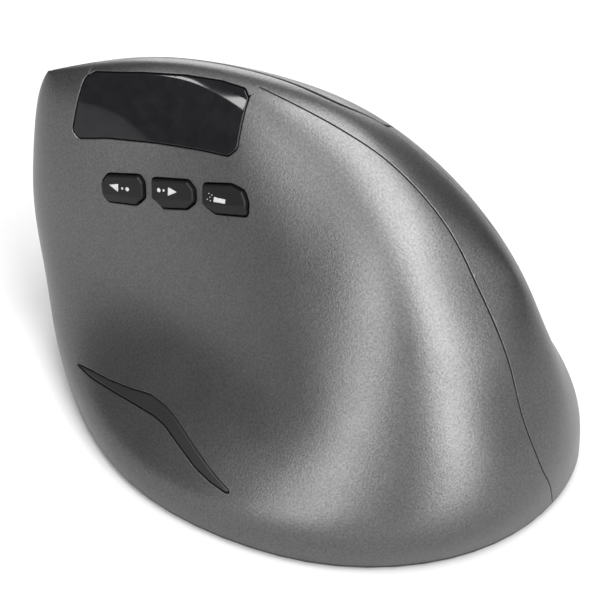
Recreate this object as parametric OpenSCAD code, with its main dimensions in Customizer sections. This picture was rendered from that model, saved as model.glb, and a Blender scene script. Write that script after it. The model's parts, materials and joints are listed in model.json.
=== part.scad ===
// Upright wireless mouse for the right hand, built from separate moulded, printed and stamped pieces.
// +Z up, +Y towards the fingers' end, -X the thumb's side, +X the fingers' side.
// The origin is the middle of the footprint, on the surface that the feet stand on.

/* [Body] */
// Length over the shells, nose to heel
body_l = 116; // [115:0.5:118]
// Width over the shells
body_w = 78.5; // [78:0.5:80]
// Height above the desk
body_h = 73; // [72.7:0.1:74.5]
// Wall of the moulded shells
wall = 1.8; // [1.6:0.1:1.9]
// Width of the seams between the shells
seam_gap = 0.3; // [0.2:0.05:0.4]
// Width of the gap around the click panels
panel_gap = 0.4; // [0.35:0.05:0.5]
// How far the base plate stands above the desk, on its feet
foot_h = 0.8; // [0.6:0.1:1]

/* [Scroll wheel] */
// Radius over the rubber tyre
wheel_r = 10.5; // [10:0.1:10.8]
// Width of the tyre
tyre_w = 6.4; // [5.5:0.1:6.8]
// Radius of the steel axle
axle_r = 1; // [0.8:0.1:1.2]
// Radial clearance of the running fits
run_fit = 0.05; // [0.02:0.01:0.08]

/* [Buttons] */
// How far the small caps stand above the shell
cap_proud = 0.8; // [0.5:0.1:1]
// Gap around the small caps
cap_gap = 0.3; // [0.2:0.05:0.35]
// Play between a cap's stem and its switch
stem_play = 0.7; // [0.65:0.05:0.9]

/* [Hidden] */

$fn = 32;

// ---------- the free-form skin ----------
// The skin is a bicubic uniform B-spline over this cage. Each row is one ring of control points
// round the body, from the base edge up to the ridge line that both flanks share. Column 0 is the
// nose, 1 to 7 run down the thumb's side, 8 is the heel and 9 to 15 come back along the fingers' side.
BASE_RING = [[2.5, 60.5], [-13.5, 54.5], [-30, 36.5], [-43, 13.5], [-43.5, -12], [-37, -35.5],
    [-21.5, -53.5], [-4, -61], [12, -61], [26, -54.5], [35, -37], [39, -14], [39, 10], [36, 32], [29, 49],
    [17, 59]];
FOOT_RING = [[2, 61, 9], [-14.5, 56, 9], [-30, 38, 9], [-43, 14.5, 9], [-44, -12, 9], [-38, -36.5, 10],
    [-23.5, -56, 10], [-4, -62, 10], [11.5, -61, 10], [26.5, -54, 9.5], [36.5, -36.5, 9.5],
    [40.5, -14, 10], [41, 10, 10], [37, 32, 10], [29, 49, 10], [17, 59, 10]];
SILL_RING = [[-0.5, 62.5, 20], [-15, 57.5, 17], [-24.5, 37.5, 16], [-33, 13, 16], [-37, -11, 18],
    [-33.5, -33.5, 18], [-20.5, -52.5, 20], [-4.5, -59.5, 20], [11, -60, 19.5], [23.5, -51, 19],
    [33, -35.5, 20.5], [36.5, -11.5, 21], [37, 10, 20], [34, 30, 20], [27, 47, 20], [15, 58, 20]];
LOW_RING = [[-3, 64.5, 33], [-16.5, 58, 31], [-17.5, 38, 29], [-19, 16, 28.5], [-25, -6, 29],
    [-28.5, -28, 29.5], [-19, -47, 30], [-3, -55, 28.5], [10.5, -58, 28.5], [19, -48, 28.5],
    [25, -32.5, 32.5], [28.5, -9.5, 34], [29, 10, 35], [27, 29, 35], [22, 45, 34], [12, 57, 33]];
MID_RING = [[-6, 62.5, 47.5], [-16, 55, 47], [-17, 38.5, 48], [-15, 22, 48], [-16, 3, 48], [-19, -15, 46],
    [-16.5, -35.5, 47], [-3.5, -49.5, 40.5], [9, -54.5, 37], [16.5, -45, 39.5], [21, -27.5, 47.5],
    [21, -8.5, 54], [18, 9, 56], [14.5, 26, 55.5], [11, 41, 53.5], [5.5, 53.5, 48]];
SHOULDER_RING = [[-9.5, 59.5, 62.5], [-14.5, 50.5, 64], [-11, 37.5, 70], [-6, 24.5, 73], [-6, 9, 74],
    [-4, -8.5, 68], [-7, -27.5, 62], [-0.5, -40.5, 51.5], [8.5, -52, 44], [16.5, -38.5, 51.5],
    [20, -24, 59.5], [16.5, -8, 69.5], [12, 8, 72.5], [7.5, 22.5, 73], [4, 36.5, 70.5], [-1.5, 50, 65]];
RIDGE = [[-10.5, 55.5, 67.5], [-7.5, 45, 73.5], [-4, 32.5, 78], [0.5, 18.5, 79], [5, 3.5, 78.5],
    [7.5, -11, 76], [8.5, -25.5, 68], [8.5, -37.5, 59.5], [8.5, -45.5, 49.5]];
// Size of the skin that the cage gives, and the height of its lower edge
CAGE_L = 122.3;
CAGE_W = 82.6;
CAGE_H = 76.9;
CAGE_SILL = 2;
scl = [body_w / CAGE_W, body_l / CAGE_L, body_h / CAGE_H];
// The flanks and seams are measured from HOME, which stands beside the middle of the footprint
HOME = [1.5, -0.43, 0];
cols = 16;
rings = 6;
function scaled(p) = HOME + [p[0] * scl[0], p[1] * scl[1], p[2] * scl[2]];
function twin(i) = (cols - i) % cols;
CAGE = [
    [for (p = BASE_RING) scaled([p[0], p[1], CAGE_SILL])],
    [for (p = FOOT_RING) scaled(p)],
    [for (p = SILL_RING) scaled(p)],
    [for (p = LOW_RING) scaled(p)],
    [for (p = MID_RING) scaled(p)],
    [for (p = SHOULDER_RING) scaled(p)],
    [for (i = [0:cols - 1]) scaled(RIDGE[min(i, twin(i) == 0 ? 0 : twin(i))])]];

// One row below the base edge and two past the ridge close the spline's ends
function whole(cage) = concat(
    [[for (i = [0:cols - 1]) 2 * cage[0][i] - cage[1][i]]],
    cage,
    [for (r = [rings - 1, rings - 2]) [for (i = [0:cols - 1]) cage[r][twin(i)]]]);
function weights(f) = [pow(1 - f, 3), 3 * f * f * f - 6 * f * f + 4,
    -3 * f * f * f + 3 * f * f + 3 * f + 1, f * f * f] / 6;
function slopes(f) = [-pow(1 - f, 2), 3 * f * f - 4 * f, -3 * f * f + 2 * f + 1, f * f] / 2;
function mixed(net, iu, iw, bu, bw) =
    let (q = [for (a = [0:3]) let (r = net[iw + a]) bu[0] * r[(iu + cols - 1) % cols]
        + bu[1] * r[iu] + bu[2] * r[(iu + 1) % cols] + bu[3] * r[(iu + 2) % cols]])
    bw[0] * q[0] + bw[1] * q[1] + bw[2] * q[2] + bw[3] * q[3];
function at(net, u, w) = let (iu = floor(u), iw = min(floor(w), rings))
    mixed(net, iu % cols, iw, weights(u - iu), weights(w - iw));
function normal_at(net, u, w) =
    let (iu = floor(u), iw = min(floor(w), rings),
        du = mixed(net, iu % cols, iw, slopes(u - iu), weights(w - iw)),
        dw = mixed(net, iu % cols, iw, weights(u - iu), slopes(w - iw)),
        n = cross(du, dw))
    n / norm(n);
NET = whole(CAGE);
// Just below the ridge, where the skin's normal is well defined
near_ridge = 5.8;
function cage_normal(i, r) = r < rings ? normal_at(NET, i, r)
    : let (n = normal_at(NET, i, near_ridge) + normal_at(NET, twin(i), near_ridge)) n / norm(n);
// The cage moved inwards by d; its lowest ring also drops, so that a core opens the base
core_drop = 1.5;
function inset_cage(d) = [for (r = [0:rings]) [for (i = [0:cols - 1])
    CAGE[r][i] - d * cage_normal(i, r) - (r == 0 && d > 0 ? [0, 0, core_drop] : [0, 0, 0])]];

// Steps of the skin's grid per cage column and per ring
col_steps = 4;
ring_steps = 3;
module skin_solid(d) {
    net = whole(inset_cage(d));
    nu = cols * col_steps;
    nw = rings * ring_steps;
    half = nu / 2;
    pts = concat(
        [for (j = [0:nw - 1]) for (i = [0:nu - 1]) at(net, i / col_steps, j / ring_steps)],
        [for (i = [0:half]) at(net, i / col_steps, rings)]);
    function id(i, j) = let (k = (i + nu) % nu)
        j < nw ? j * nu + k : nw * nu + (k <= half ? k : nu - k);
    faces = concat(
        [[for (i = [0:nu - 1]) id(i, 0)]],
        [for (j = [0:nw - 1]) for (i = [0:nu - 1])
            each quad(id(i, j), id(i + 1, j), id(i + 1, j + 1), id(i, j + 1))]);
    polyhedron(pts, faces);
}
function quad(a, b, c, d) = [[a, c, b], [a, d, c]];

// A free-form piece is settled as one mesh before anything exact is joined to it
module moulded() resize([0, 0, 0]) children();

module shell(outer, inner) difference() {
    skin_solid(outer);
    skin_solid(inner);
}

// ---------- frames of the two flanks ----------
// The fingers' flank leans so that its normal is finger_lean from upright; x runs down the slope
finger_lean = 62;
module finger_frame() translate(HOME) rotate([0, finger_lean, 0]) children();
// The thumb's wall; x runs up the wall and z points outwards
thumb_lean = 72;
module thumb_frame() translate(HOME) rotate([0, -thumb_lean, 0]) children();
// The foot of the thumb's wall, where the grip strip lies
strip_lean = 45;
module strip_frame() translate(HOME) rotate([0, -strip_lean, 0]) children();
// A prism through a flank, from an outline of [y, x] points
far = 90;
module flank_prism(outline, from = 0) translate([0, 0, from])
    linear_extrude(far) polygon([for (p = outline) [p[1], p[0]]]);
module grown_prism(outline, by, from = 0) translate([0, 0, from])
    linear_extrude(far) offset(delta = by) polygon([for (p = outline) [p[1], p[0]]]);

// ---------- seams ----------
// A smooth curve through a few points [x, value]
function seg(pts, x) = max([for (i = [0:len(pts) - 2]) if (x >= pts[i][0] || i == 0) i]);
function grade(pts, i) = let (a = max(i - 1, 0), b = min(i + 1, len(pts) - 1))
    (pts[b][1] - pts[a][1]) / (pts[b][0] - pts[a][0]);
function curve(pts, x) = let (i = seg(pts, x), h = pts[i + 1][0] - pts[i][0],
        f = min(max((x - pts[i][0]) / h, 0), 1), g = 1 - f)
    g * g * (1 + 2 * f) * pts[i][1] + f * f * (3 - 2 * f) * pts[i + 1][1]
    + f * g * g * h * grade(pts, i) - f * f * g * h * grade(pts, i + 1);

// Thumb seam, [z, x]: down the back from the ridge, and down the nose
THUMB_SEAM_BACK = [[0, 3], [8, 0.5], [15, -2], [24, -2.8], [35, -1.3], [48, 0.7], [58, 3.1],
    [65, 3.8], [69, 2.7], [73, 0.5], [80, -3]];
THUMB_SEAM_NOSE = [[0, -4], [20, -4.5], [31, -6.5], [46, -9], [58, -11], [80, -12.5]];
// Between its two ends the seam follows the window, hidden behind it
window_from = 9;
window_to = 41.6;
seam_dip = 3.5;
function thumb_seam(y, z) =
    let (a = min(max((y - window_from) / (50 - window_from), 0), 1),
        x = curve(THUMB_SEAM_BACK, z) * (1 - a) + curve(THUMB_SEAM_NOSE, z) * a)
    x - (y > window_from && y < window_to ? seam_dip : 0);
SEAM_YS = [-70, -10, window_from - 0.3, window_from + 0.3, 16, 25, 34, window_to - 0.3,
    window_to + 0.3, 46, 50, 70];
SEAM_ZS = [for (z = [-2:4:82]) z];
// Everything on the thumb's side of the seam, moved across it by shift
module thumb_side(shift) {
    nz = len(SEAM_ZS);
    ny = len(SEAM_YS);
    pts = concat(
        [for (y = SEAM_YS) for (z = SEAM_ZS) HOME + [-60, y, z]],
        [for (y = SEAM_YS) for (z = SEAM_ZS) HOME + [thumb_seam(y, z) + shift, y, z]]);
    function id(s, i, j) = s * ny * nz + i * nz + j;
    polyhedron(pts, concat(
        [for (i = [0:ny - 2]) for (j = [0:nz - 2]) each
            quad(id(0, i, j), id(0, i, j + 1), id(0, i + 1, j + 1), id(0, i + 1, j))],
        [for (i = [0:ny - 2]) for (j = [0:nz - 2]) each
            quad(id(1, i, j), id(1, i + 1, j), id(1, i + 1, j + 1), id(1, i, j + 1))],
        [for (i = [0:ny - 2]) each quad(id(0, i, 0), id(0, i + 1, 0), id(1, i + 1, 0), id(1, i, 0))],
        [for (i = [0:ny - 2]) each
            quad(id(0, i, nz - 1), id(1, i, nz - 1), id(1, i + 1, nz - 1), id(0, i + 1, nz - 1))],
        [for (j = [0:nz - 2]) each quad(id(0, 0, j), id(1, 0, j), id(1, 0, j + 1), id(0, 0, j + 1))],
        [for (j = [0:nz - 2]) each
            quad(id(0, ny - 1, j), id(0, ny - 1, j + 1), id(1, ny - 1, j + 1), id(1, ny - 1, j))]));
}

// Upper edge of the click panels, [y, x down the flank]
PANEL_TOP = [[-12.5, -54], [-5, -58.6], [5, -61], [20, -62.6], [35, -62.3], [50, -59.5], [64, -55]];
panel_rear = -12.5;
// Palm seam behind the panels, [z, x]
PALM_SEAM = [[0, 22], [20, 19], [40, 15], [55, 12.6], [67, 10.8], [80, 9]];
// The palm shell also bridges the top of the nose, ahead of and above this corner
BRIDGE = [45, 46];
// The half-space that holds the thumb's wall near the window, and nothing of the fingers' side
wall_from = 18;
wall_tilt = 9.7;
module thumb_wall() thumb_frame() rotate([wall_tilt, 0, 0])
    translate([-far, -far, wall_from]) cube([2 * far, 2 * far, far]);
// Everything between the two seams, on the palm's side of the palm seam moved across it by shift
module palm_side(shift) {
    // Behind the panels, the strip of the back
    translate(HOME + [0, panel_rear, 0]) rotate([90, 0, 0]) linear_extrude(far) polygon(concat(
        [for (z = [80:-4:0]) [curve(PALM_SEAM, z) + shift, z]], [[-60, 0], [-60, 80]]));
    // Above the panels, the spine along the ridge
    finger_frame() translate([0, 0, -far / 2]) linear_extrude(2 * far) polygon(concat(
        [for (y = [64:-4:panel_rear]) [curve(PANEL_TOP, y) + shift, y]],
        [[curve(PANEL_TOP, panel_rear) + shift, panel_rear - 0.01], [-120, panel_rear - 0.01], [-120, 64]]));
    translate(HOME + [-60, BRIDGE[0] - shift, BRIDGE[1] - shift]) cube(far);
    intersection() {
        thumb_wall();
        translate([-60, 0, BRIDGE[1]]) cube([far, BRIDGE[0], far]);
    }
}

// Click panels: outlines on the fingers' flank as [y, x], and how deep they wrap round the nose
bezel_top = -42;
bezel_foot = -32;
PANEL_YS = [panel_rear, -8, -4, 0, 5, 12, 20, 28, 36, 44, 50, 56, 64];
UPPER_PANEL = concat([for (y = PANEL_YS) [y, curve(PANEL_TOP, y)]], [[64, bezel_top], [panel_rear, bezel_top]]);
LOWER_EDGE = [[-10, -17], [0, -14], [15, -12], [35, -12], [64, -11]];
lower_rear = -10;
LOWER_PANEL = concat([for (y = [lower_rear, -5, 0, 8, 15, 25, 35, 50, 64]) [y, curve(LOWER_EDGE, y)]],
    [[64, bezel_foot], [lower_rear, bezel_foot]]);
BEZEL_STRIP = [[-3, bezel_top], [-3, bezel_foot], [64, bezel_foot], [64, bezel_top]];
PANEL_DEPTH = [[-20, 33], [20, 32], [35, 29], [45, 24], [50, 21.5], [54, 19.8], [58, 17.5], [70, 15]];
module wrap_depth(by) finger_frame() rotate([90, 0, 90]) translate([0, 0, -far]) linear_extrude(2 * far)
    polygon(concat([for (p = PANEL_DEPTH) [p[0], p[1] - by]], [[70, far], [-20, far]]));
// A panel's own space, or with by and drop the space that it moves in
module click_zone(outline, by = 0, drop = 0) intersection() {
    finger_frame() grown_prism(outline, by);
    wrap_depth(drop);
}

// ---------- shells ----------
// Window and cap outlines on the thumb's wall, [y, x up the wall]
WINDOW = [[42.2, 49.5], [41.6, 60.5], [40, 62.2], [30.5, 65.2], [22.5, 67.2], [15.5, 68.3], [10.8, 68.4],
    [9.2, 67.2], [7.8, 58.2], [9.2, 56.2], [15, 55.2], [25, 53], [34.5, 50.6], [40.6, 48.3]];
BACK_CAP = [[34.6, 41.6], [33.4, 43.9], [26.6, 46.2], [25.3, 45.1], [24.6, 41.9], [26.3, 39.6],
    [32.7, 37.8], [33.9, 38.4]];
FORWARD_CAP = [[24.2, 46.5], [16.2, 49.1], [14.3, 47.9], [13.6, 45.4], [15.3, 43.2], [20.7, 41.2],
    [23.4, 42.6]];
MODE_CAP = [[13.3, 49.7], [7.2, 51.9], [4.2, 51.7], [2.8, 50], [2, 47.2], [9.1, 44.9], [12.2, 45.6]];
CAPS = [BACK_CAP, FORWARD_CAP, MODE_CAP];
// Middle of each cap on the thumb's wall, [y, x]
CAP_MIDS = [[29.6, 42], [19, 45.2], [7.8, 48.4]];
// Grip strip at the foot of the wall, [y, x up the slope]
STRIP = [[35, -10.9], [29, -10.5], [24, -10.4], [18.5, -9.9], [13, -9], [9, -9.5], [6, -10.4], [2.5, -12],
    [-2, -14.2], [-7, -16.5], [-11.3, -18.1], [-11.6, -18.7], [-10.6, -19], [-7, -18.5], [-3, -17.4],
    [3, -14.8], [7, -13.1], [10, -12.5], [15, -12.3], [22, -12.2], [28.5, -12]];
strip_depth = 0.9;

module thumb_shell() color("dimgray") moulded() {
    difference() {
        intersection() {
            shell(0, wall);
            thumb_side(-seam_gap / 2);
        }
        window_prism();
        for (outline = CAPS) thumb_frame() flank_prism(outline, wall_from);
        strip_groove();
    }
    screw_boss(THUMB_BOSS, THUMB_RIB);
}
// The openings that the shells leave for the click panels, the bezel and the window
module click_space() {
    click_zone(UPPER_PANEL, panel_gap, click_drop);
    click_zone(LOWER_PANEL, panel_gap, click_drop);
    click_zone(BEZEL_STRIP, 0, click_drop);
}
module window_prism(by = 0) intersection() {
    thumb_frame() grown_prism(WINDOW, by);
    thumb_wall();
}
module strip_groove() difference() {
    strip_frame() flank_prism(STRIP);
    skin_solid(strip_depth);
}

module palm_shell() color("gray") moulded() {
    difference() {
        intersection() {
            shell(0, wall);
            palm_side(-seam_gap / 2);
        }
        thumb_side(seam_gap / 2);
        click_space();
        window_prism();
    }
    screw_boss(PALM_BOSS, PALM_RIB);
}

module finger_shell() color("slategray") moulded() {
    difference() {
        shell(0, wall);
        thumb_side(seam_gap / 2);
        palm_side(seam_gap / 2);
        click_space();
        window_prism();
        usb_slot(usb_w + 2 * port_gap, usb_h + 2 * port_gap);
    }
    screw_boss(FINGER_BOSS, FINGER_RIB);
}

// A screw boss stands over the base plate, joined to its shell by a rib that runs by rib from its axis
boss_r = 2.8;
boss_from = 3.9;
boss_h = 10;
pilot_r = 0.9;
rib_t = 1.6;
THUMB_BOSS = [-29, 6];
THUMB_RIB = [-9.5, 0];
FINGER_BOSS = [29, 6];
FINGER_RIB = [9.5, 0];
PALM_BOSS = [10, -49];
PALM_RIB = [0, -8.5];
BOSSES = [THUMB_BOSS, FINGER_BOSS, PALM_BOSS];
module screw_boss(at, rib) difference() {
    intersection() {
        translate([at[0], at[1], boss_from]) {
            cylinder(r = boss_r, h = boss_h);
            rotate([0, 0, atan2(rib[1], rib[0])]) translate([0, -rib_t / 2, 0]) cube([norm(rib), rib_t, boss_h]);
        }
        skin_solid(wall - 0.5);
    }
    translate([at[0], at[1], boss_from - 1]) cylinder(r = pilot_r, h = boss_h);
}

// ---------- click panels ----------
// How far a panel can dip into its opening
click_drop = 1.3;
// Hinge line of the panels in the fingers' frame, [y, z]
HINGE = [-18, 34.9];
hinge_r = 1;
knuckle_r = 2.1;
arm_t = 2.4;
UPPER_ARM = [-47, -44];
LOWER_ARM = [-31.5, -27.5];
// The posts that press the switches
post_r = 1.6;
post_y = 22;
post_foot = 33;
UPPER_POST = -47.5;
LOWER_POST = -25;
module click_panel(outline, arm, post) moulded_with_bores(arm) {
    difference() {
        intersection() {
            shell(0, wall);
            click_zone(outline);
        }
        thumb_side(seam_gap / 2);
        window_prism();
    }
    intersection() {
        skin_solid(wall / 2);
        finger_frame() union() {
            translate([post, post_y, post_foot]) cylinder(r = post_r, h = 10);
            translate([arm[0], -9, HINGE[1] - arm_t / 2]) cube([arm[1] - arm[0], 2.5, 12]);
        }
    }
}
// The moulding, with its hinge arm and the arm's true bore joined to it
module moulded_with_bores(arm) {
    moulded() children();
    finger_frame() difference() {
        union() {
            translate([arm[0], HINGE[0], HINGE[1] - arm_t / 2]) cube([arm[1] - arm[0], 10, arm_t]);
            hinge_rod(arm, knuckle_r);
        }
        hinge_rod([arm[0] - 1, arm[1] + 1], hinge_r + run_fit);
    }
}
// A rod on the hinge line, between two places across the flank
module hinge_rod(span, r) translate([span[0], HINGE[0], HINGE[1]]) rotate([0, 90, 0])
    cylinder(r = r, h = span[1] - span[0]);

module left_button() color("silver") click_panel(UPPER_PANEL, UPPER_ARM, UPPER_POST);
module right_button() color("silver") click_panel(LOWER_PANEL, LOWER_ARM, LOWER_POST);

ear_t = 1.9;
ear_gap = 0.3;
function ear_span(arm) = [arm[0] - ear_gap - ear_t, arm[1] + ear_gap + ear_t];
module left_hinge_pin() color("lightgray") finger_frame() hinge_rod(ear_span(UPPER_ARM), hinge_r);
module right_hinge_pin() color("lightgray") finger_frame() hinge_rod(ear_span(LOWER_ARM), hinge_r);

// Central strip between the panels, sunk a little below them
bezel_sink = 0.6;
bezel_t = 1.6;
SLOT = [22, 7.2];
module wheel_bezel() color("black") moulded() difference() {
    intersection() {
        shell(bezel_sink, bezel_sink + bezel_t);
        click_zone([for (p = BEZEL_STRIP) [p[0], p[1] + (p[1] < WHEEL[0] ? panel_gap : -panel_gap)]]);
    }
    finger_frame() translate([WHEEL[0], WHEEL[1], 0]) slot_prism(SLOT[0], SLOT[1]);
    finger_frame() translate([WHEEL[0], dpi_y, 0]) slot_prism(DPI[0] + 2 * cap_gap, DPI[1] + 2 * cap_gap);
}
module slot_prism(l, w) translate([0, 0, 20]) linear_extrude(far) square([w, l], center = true);

// ---------- caps on the thumb's wall ----------
// The caps' switches stand on a board behind the wall
board_t = 1;
side_board_z = 21.2;
tact_h = 1.5;
plunger_h = 0.4;
stem_foot = side_board_z + board_t + tact_h + plunger_h + stem_play;
stem_r = 1.5;
flange_in = 0.3;
flange_t = 0.7;
function inset_to(outline, mid, k) =
    [for (p = outline) mid + [(p[0] - mid[0]) * k[0], (p[1] - mid[1]) * k[1]]];
module cap(outline, mid) color("black") moulded() {
    intersection() {
        shell(-cap_proud, wall + flange_in + flange_t);
        thumb_frame() grown_prism(outline, -cap_gap, wall_from);
    }
    intersection() {
        shell(wall + flange_in, wall + flange_in + flange_t);
        thumb_frame() flank_prism(inset_to(outline, mid, [0.9, 1.3]), wall_from);
    }
    intersection() {
        skin_solid(wall);
        thumb_frame() translate([mid[1], mid[0], stem_foot]) cylinder(r = stem_r, h = 8);
    }
}
module back_button() cap(BACK_CAP, CAP_MIDS[0]);
module forward_button() cap(FORWARD_CAP, CAP_MIDS[1]);
module mode_button() cap(MODE_CAP, CAP_MIDS[2]);

SIDE_BOARD = [[37, 0.5], [53.5, 36]];
module side_board() color("darkgreen") thumb_frame() difference() {
    translate([SIDE_BOARD[0][0], SIDE_BOARD[0][1], side_board_z])
        cube([SIDE_BOARD[1][0] - SIDE_BOARD[0][0], SIDE_BOARD[1][1] - SIDE_BOARD[0][1], board_t]);
    for (p = SIDE_SCREWS) translate([p[1], p[0], side_board_z - 1]) cylinder(r = 0.9, h = 3);
}
SIDE_SCREWS = [[2.5, 39.5], [34, 51]];
module side_switches() color("whitesmoke") thumb_frame() for (m = CAP_MIDS)
    translate([m[1], m[0], side_board_z + board_t]) {
        translate([-2.2, -2.6, 0]) cube([4.4, 5.2, tact_h]);
        cylinder(r = 1, h = tact_h + plunger_h);
    }

// Gloss window and the display behind it
window_sink = 0.12;
window_t = 1.3;
module display_window() color([0.05, 0.05, 0.06, 0.8]) moulded() intersection() {
    shell(window_sink, window_sink + window_t);
    window_prism(-0.15);
}
DISPLAY = [21, 9, 1.8];
DISPLAY_AT = [54.3, 12, 21.6];
module display_module() color("darkslategray") thumb_frame() translate(DISPLAY_AT) {
    cube([DISPLAY[1], DISPLAY[0], DISPLAY[2] - 0.6]);
    translate([0.8, 1.2, 0]) cube([DISPLAY[1] - 1.6, DISPLAY[0] - 2.4, DISPLAY[2]]);
}

module thumb_strip() color("black") moulded() intersection() {
    shell(-0.05, strip_depth - 0.05);
    strip_frame() grown_prism(STRIP, -0.12);
}

// ---------- scroll wheel ----------
// The click board lies under the wheel
click_board_z = 24.6;
click_board_t = 1.2;
// Middle of the wheel in the fingers' frame
WHEEL = [-37, 28, 28.8];
module wheel_frame() finger_frame() translate(WHEEL) children();
// A round piece on an axis across the flank, from x for length h
module across(r, x, h, y = 0, z = 0, sides = 48) translate([x, y, z]) rotate([0, 90, 0])
    cylinder(r = r, h = h, $fn = sides);
rim_r = 8.7;
hub_w = 5.4;
module wheel_hub() color("dimgray") wheel_frame() difference() {
    across(rim_r, -hub_w / 2, hub_w);
    across(axle_r, -hub_w, 2 * hub_w);
    for (side = [-1, 1]) difference() {
        across(rim_r - 1.3, side > 0 ? hub_w / 2 - 1.4 : -hub_w / 2 - 1, 2.4);
        across(2.6, -hub_w, 2 * hub_w);
    }
    for (a = [0:60:300]) rotate([a, 0, 0]) across(1.3, -hub_w, 2 * hub_w, 0, 4.9, 24);
}
grips = 36;
module wheel_tyre() color("black") wheel_frame() difference() {
    across(wheel_r, -tyre_w / 2, tyre_w, sides = 96);
    across(rim_r, -tyre_w, 2 * tyre_w);
    for (i = [0:grips - 1]) rotate([i * 360 / grips, 0, 0])
        translate([-tyre_w / 2 + 0.9, -0.35, wheel_r - 0.5]) cube([tyre_w - 1.8, 0.7, 1]);
}
AXLE = [-5.6, 8.9];
module wheel_axle() color("silver") wheel_frame() across(axle_r, AXLE[0], AXLE[1] - AXLE[0]);

// The cradle carries the wheel and rocks on a pin behind it, for the middle click
arm_in = 3.9;
arm_out = 5.3;
PIVOT = [-15, -0.8];
bar_foot = -1.1;
pivot_r = 1;
FRONT_BAR = [10.9, 12.3];
bar_top = 0.1;
module wheel_cradle() color("gray") wheel_frame() difference() {
    union() {
        for (x = [-arm_out, arm_in]) {
            translate([x, PIVOT[0], -2]) cube([arm_out - arm_in, FRONT_BAR[1] - PIVOT[0], 2 + bar_top]);
            across(2.6, x, arm_out - arm_in);
        }
        translate([-arm_out, FRONT_BAR[0], bar_foot])
            cube([2 * arm_out, FRONT_BAR[1] - FRONT_BAR[0], bar_top - bar_foot]);
        across(1.8, -arm_out, 2 * arm_out, PIVOT[0], PIVOT[1]);
    }
    across(axle_r + run_fit, -far / 2, far);
    across(pivot_r + run_fit, -far / 2, far, PIVOT[0], PIVOT[1]);
}
bracket_in = 5.7;
bracket_out = 7.3;
module cradle_pin() color("silver") wheel_frame()
    across(pivot_r, -bracket_out, 2 * bracket_out, PIVOT[0], PIVOT[1]);
module cradle_bracket() color("whitesmoke") wheel_frame() difference() {
    for (side = [-1, 1]) translate([side > 0 ? bracket_in : -bracket_out, PIVOT[0] - 2.2, -3])
        cube([bracket_out - bracket_in, 4.4, 4.2]);
    across(pivot_r, -far / 2, far, PIVOT[0], PIVOT[1]);
}
ENCODER = [5.5, 8.6];
rotor_r = 2.5;
module encoder_body() color("darkgreen") wheel_frame() difference() {
    translate([ENCODER[0], -4.8, -2.2]) cube([ENCODER[1] - ENCODER[0], 9.6, 5.8]);
    across(axle_r + run_fit, -far / 2, far);
    across(rotor_r + 0.3, ENCODER[0] + 1, far);
}
module encoder_rotor() color("gold") wheel_frame() difference() {
    across(rotor_r, ENCODER[0] + 1.3, 1.6);
    across(axle_r, -far / 2, far);
    for (a = [0:30:330]) rotate([a, 0, 0]) across(0.3, 0, far, 0, 1.9, 16);
}
// The switch stands on the click board, below the cradle's front bar
bar_play = 0.75;
middle_top = bar_foot - bar_play;
middle_foot = click_board_z + click_board_t - WHEEL[2];
module middle_click_switch() color("whitesmoke") wheel_frame() {
    translate([-3, FRONT_BAR[0] - 0.4, middle_foot]) cube([6, 4.4, middle_top - 0.3 - middle_foot]);
    translate([0, FRONT_BAR[0] + 1.2, middle_foot]) cylinder(r = 0.9, h = middle_top - middle_foot);
}

// Resolution button behind the wheel
DPI = [8.5, 4.6];
dpi_y = 7;
dpi_plunger = 28.3;
module dpi_button() color("darkgray") moulded() {
    intersection() {
        shell(bezel_sink - 0.5, bezel_sink + bezel_t + 1.2);
        finger_frame() translate([WHEEL[0], dpi_y, 0]) slot_prism(DPI[0], DPI[1]);
    }
    intersection() {
        shell(bezel_sink + bezel_t + 0.3, bezel_sink + bezel_t + 1.2);
        finger_frame() translate([WHEEL[0], dpi_y, 0]) slot_prism(DPI[0] + 2, DPI[1] + 1.6);
    }
    intersection() {
        skin_solid(bezel_sink + bezel_t);
        finger_frame() translate([WHEEL[0], dpi_y, dpi_plunger + stem_play]) cylinder(r = stem_r, h = 20);
    }
}
dpi_h = dpi_plunger - click_board_z - click_board_t;
module dpi_switch() color("whitesmoke")
    finger_frame() translate([WHEEL[0], dpi_y, click_board_z + click_board_t]) {
        translate([-3, -3, 0]) cube([6, 6, dpi_h - 0.3]);
        cylinder(r = 1.2, h = dpi_h);
    }

// ---------- boards, switches and the frame inside ----------
CLICK_BOARD = [[-51, -8], [-14, 44]];
module click_board() color("darkgreen") finger_frame() difference() {
    translate([CLICK_BOARD[0][0], CLICK_BOARD[0][1], click_board_z])
        cube([CLICK_BOARD[1][0] - CLICK_BOARD[0][0], CLICK_BOARD[1][1] - CLICK_BOARD[0][1], click_board_t]);
    translate([WHEEL[0], WHEEL[1], click_board_z - 1]) linear_extrude(4) square([7.6, 21.6], center = true);
    for (p = BOARD_SCREWS) translate([p[0], p[1], click_board_z - 1]) cylinder(r = 0.9, h = 4);
}
BOARD_SCREWS = [[-47, -6], [-17.5, -6], [-17.5, 42.5]];
// Microswitches under the panels' posts
MICRO = [5.8, 12.8, 6.5];
plunger_r = 1.1;
module click_switch(x) color("black") finger_frame() difference() {
    translate([x - MICRO[0] / 2, post_y + 2.4 - MICRO[1], click_board_z + click_board_t]) cube(MICRO);
    translate([x, post_y, post_foot - 3]) cylinder(r = plunger_r + 0.1, h = 5);
}
module plunger(x) color("orangered") finger_frame()
    translate([x, post_y, post_foot - 2.1]) cylinder(r = plunger_r, h = 2.1);
module left_click_switch() click_switch(UPPER_POST);
module right_click_switch() click_switch(LOWER_POST);
module left_plunger() plunger(UPPER_POST);
module right_plunger() plunger(LOWER_POST);

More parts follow.
